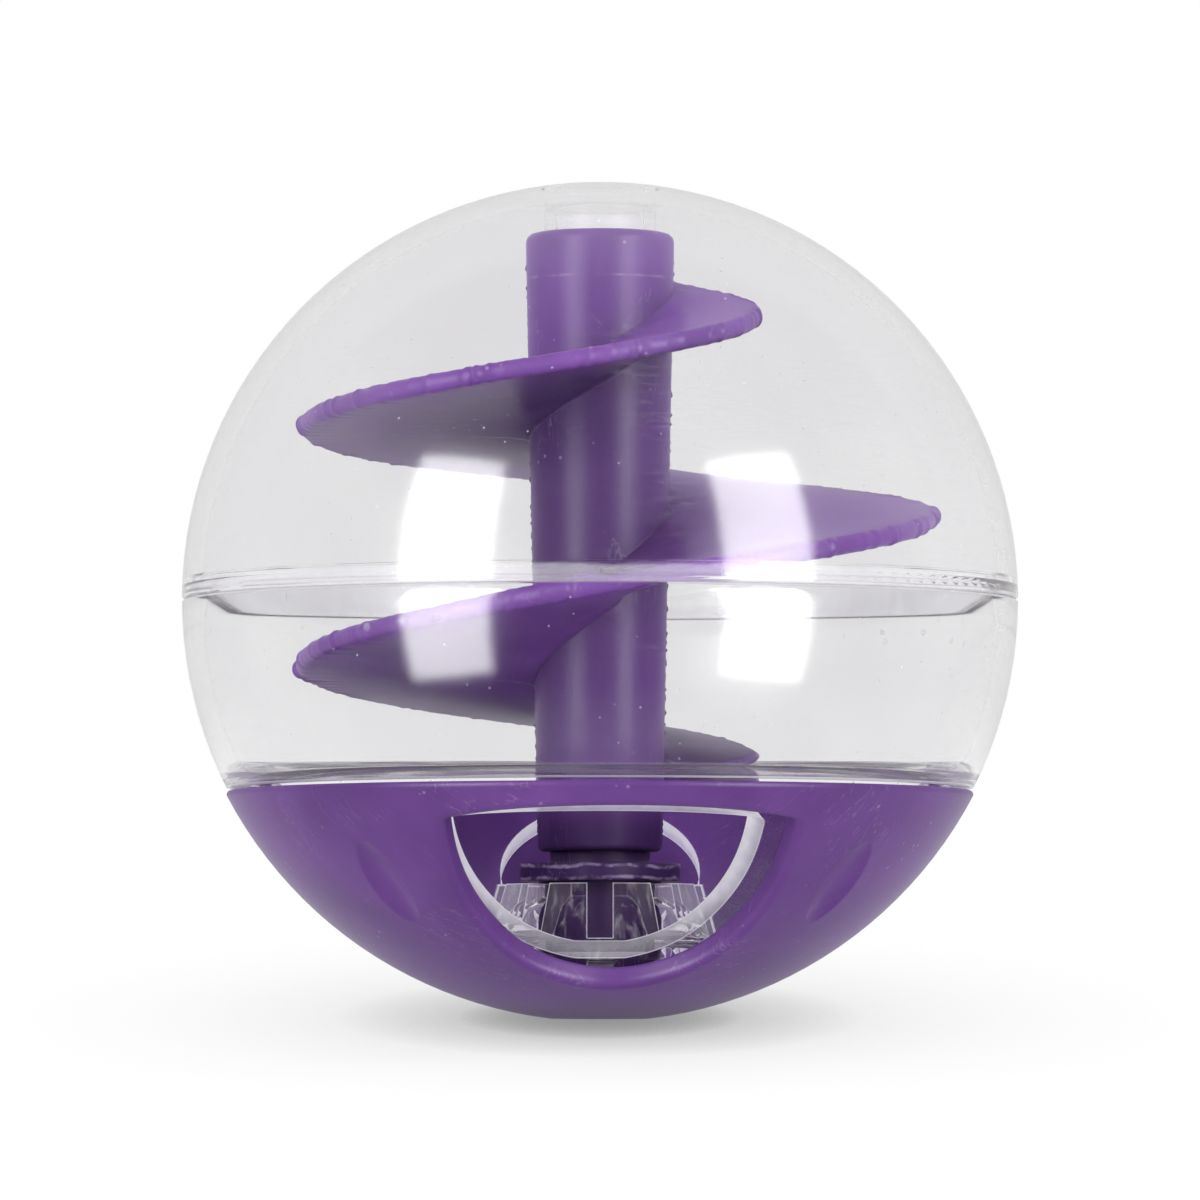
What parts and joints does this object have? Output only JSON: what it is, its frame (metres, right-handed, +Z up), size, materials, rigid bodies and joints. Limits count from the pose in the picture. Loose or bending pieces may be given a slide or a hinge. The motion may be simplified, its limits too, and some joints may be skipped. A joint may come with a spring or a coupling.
{
  "type": "treat dispensing ball",
  "caption": "Clear pet treat ball with a spiral inside; its dome lifts off for filling and its coloured base cap turns to open or close the treat outlet.",
  "frame": {"origin": "centre of the flat foot under the base cap", "axes": "+Z up along the axis of the ball, -Y through the treat outlet, +X to the right of a viewer who faces the outlet"},
  "size_m": [0.076, 0.076, 0.076],
  "materials": {
    "clear_plastic": "polished clear moulding",
    "purple_plastic": "satin moulding"
  },
  "bodies": {
    "bowl": {"lower_bowl": "clear_plastic"},
    "cap": {"base_cap": "purple_plastic"},
    "spiral": {"spiral_auger": "purple_plastic"},
    "dome": {"upper_dome": "clear_plastic"}
  },
  "joints": [
    {"name": "cap_turn", "type": "hinge", "parent": "bowl", "child": "cap", "pos_m": [0, 0, 0], "axis": [0, 0, 1], "continuous": true},
    {"name": "spiral_turn", "type": "hinge", "parent": "cap", "child": "spiral", "pos_m": [0, 0, 0], "axis": [0, 0, 1], "continuous": true},
    {"name": "dome_lift", "type": "slide", "parent": "bowl", "child": "dome", "axis": [0, 0, 1], "range_m": [0, 0.06]}
  ]
}
